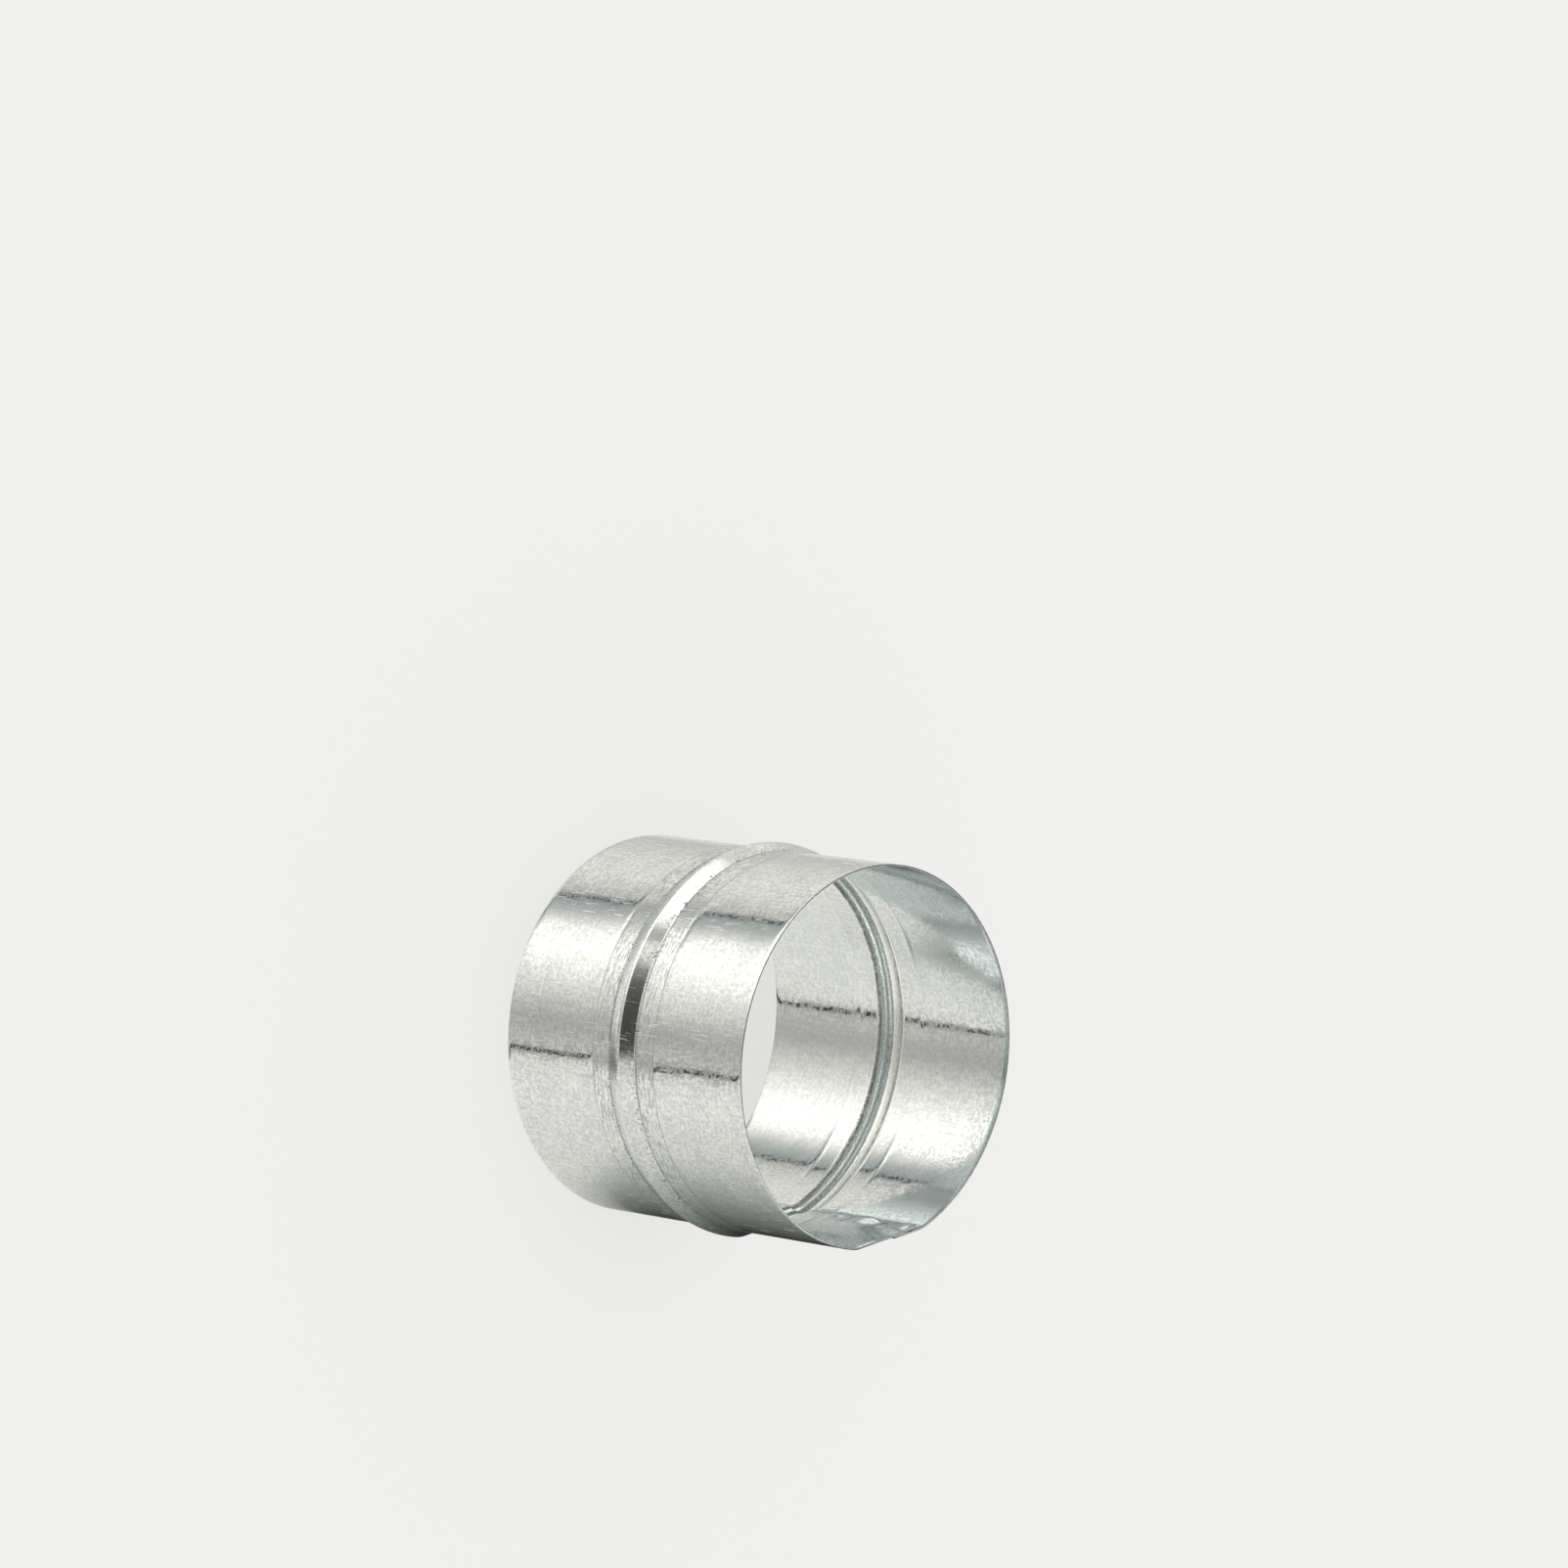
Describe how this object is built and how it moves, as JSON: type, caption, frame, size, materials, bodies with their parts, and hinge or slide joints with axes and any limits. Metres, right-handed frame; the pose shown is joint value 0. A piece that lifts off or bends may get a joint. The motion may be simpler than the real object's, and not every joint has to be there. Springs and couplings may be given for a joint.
{
  "type": "duct connector",
  "caption": "Round sheet-steel sleeve that joins ducts end to end, with a rounded bead round its middle as a stop and a flattened lap seam down one side.",
  "frame": {"origin": "centre of the lower rim, on the surface that the sleeve stands on", "axes": "+Z along the sleeve's axis, from the lower rim to the upper rim; the middle of the seam's flat lies 22.5 degrees from +X towards +Y"},
  "size_m": [0.1028, 0.1028, 0.0845],
  "materials": {
    "galvanised_sheet": "hot-dip galvanised sheet with minimised spangle, satin and lightly scuffed"
  },
  "bodies": {
    "root": {"connector_sleeve": "galvanised_sheet"}
  },
  "joints": []
}
